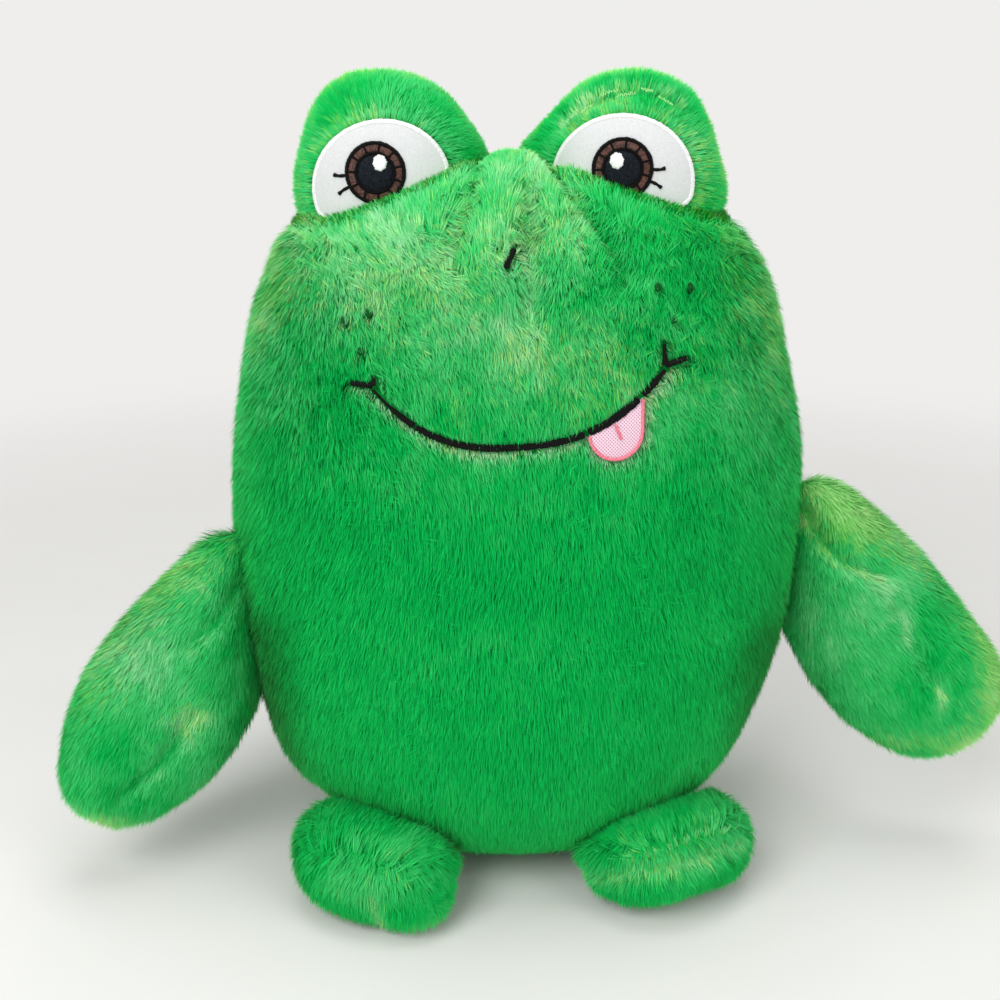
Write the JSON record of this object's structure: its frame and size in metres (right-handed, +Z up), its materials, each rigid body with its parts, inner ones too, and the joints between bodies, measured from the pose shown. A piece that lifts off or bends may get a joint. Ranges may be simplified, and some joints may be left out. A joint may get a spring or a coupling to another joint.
{
  "type": "plush frog",
  "caption": "Stuffed frog of long-pile fabric: egg-shaped body, eye lobes on top, mitten arms and stub feet that hinge at their seams, and an embroidered face.",
  "frame": {"origin": "centre of the flattened base, on the surface that the toy stands on, under the body", "axes": "+Z up; the face looks along -Y; the toy's left side is at +X"},
  "size_m": [0.408, 0.1848, 0.34],
  "materials": {
    "green_fur": "long-pile plush on a knitted backing, bright green, matt",
    "white_stuffing": "loose polyester fibre, white, matt",
    "white_applique": "smooth knitted polyester with a satin-stitched edge",
    "brown_thread": "satin-stitched rayon thread, dark brown, slight sheen",
    "black_thread": "satin-stitched rayon thread, black, slight sheen",
    "white_thread": "satin-stitched rayon thread, white, slight sheen",
    "olive_thread": "satin-stitched thread, dark olive green",
    "pink_applique": "smooth knitted polyester, pale pink, fine speckle",
    "pink_thread": "satin-stitched rayon thread, coral pink, slight sheen",
    "clear_nylon": "clear nylon filament"
  },
  "bodies": {
    "body": {"body_front_panel": "green_fur", "body_back_panel": "green_fur", "closing_seam_thread": "green_fur", "body_stuffing": "white_stuffing", "left_eye_front_panel": "green_fur", "left_eye_back_panel": "green_fur", "left_eye_stuffing": "white_stuffing", "left_eye_white": "white_applique", "left_iris": "brown_thread", "left_pupil": "black_thread", "left_eye_highlight": "white_thread", "left_upper_lash": "black_thread", "left_lower_lash": "black_thread", "right_eye_front_panel": "green_fur", "right_eye_back_panel": "green_fur", "right_eye_stuffing": "white_stuffing", "right_eye_white": "white_applique", "right_iris": "brown_thread", "right_pupil": "black_thread", "right_eye_highlight": "white_thread", "right_upper_lash": "black_thread", "right_lower_lash": "black_thread", "mouth_stitch": "black_thread", "left_mouth_corner_stitch": "black_thread", "right_mouth_corner_stitch": "black_thread", "tongue_patch": "pink_applique", "tongue_border": "pink_thread", "tongue_line_stitch": "pink_thread", "nostril_stitch": "black_thread", "left_freckle_1": "olive_thread", "left_freckle_2": "olive_thread", "left_freckle_3": "olive_thread", "right_freckle_1": "olive_thread", "right_freckle_2": "olive_thread", "right_freckle_3": "olive_thread", "tag_filament": "clear_nylon"},
    "left_arm": {"left_arm_outer_panel": "green_fur", "left_arm_inner_panel": "green_fur", "left_arm_stuffing": "white_stuffing"},
    "left_foot": {"left_foot_top_panel": "green_fur", "left_foot_sole_panel": "green_fur", "left_foot_stuffing": "white_stuffing"},
    "right_arm": {"right_arm_outer_panel": "green_fur", "right_arm_inner_panel": "green_fur", "right_arm_stuffing": "white_stuffing"},
    "right_foot": {"right_foot_top_panel": "green_fur", "right_foot_sole_panel": "green_fur", "right_foot_stuffing": "white_stuffing"}
  },
  "joints": [
    {"name": "left_arm_swing", "type": "hinge", "parent": "body", "child": "left_arm", "pos_m": [0.12432, 0, 0.15693], "axis": [-0.0241, 0, -0.9997], "range_deg": [-70, 45]},
    {"name": "right_arm_swing", "type": "hinge", "parent": "body", "child": "right_arm", "pos_m": [-0.12417, 0, 0.13691], "axis": [-0.0327, 0, 0.9995], "range_deg": [-90, 25]},
    {"name": "left_foot_tilt", "type": "hinge", "parent": "body", "child": "left_foot", "pos_m": [0.05773, -0.04284, 0.02198], "axis": [-0.866, -0.5, 0], "range_deg": [-35, 5]},
    {"name": "right_foot_tilt", "type": "hinge", "parent": "body", "child": "right_foot", "pos_m": [-0.05097, -0.04957, 0.02198], "axis": [-0.848, 0.5299, 0], "range_deg": [-35, 5]}
  ]
}
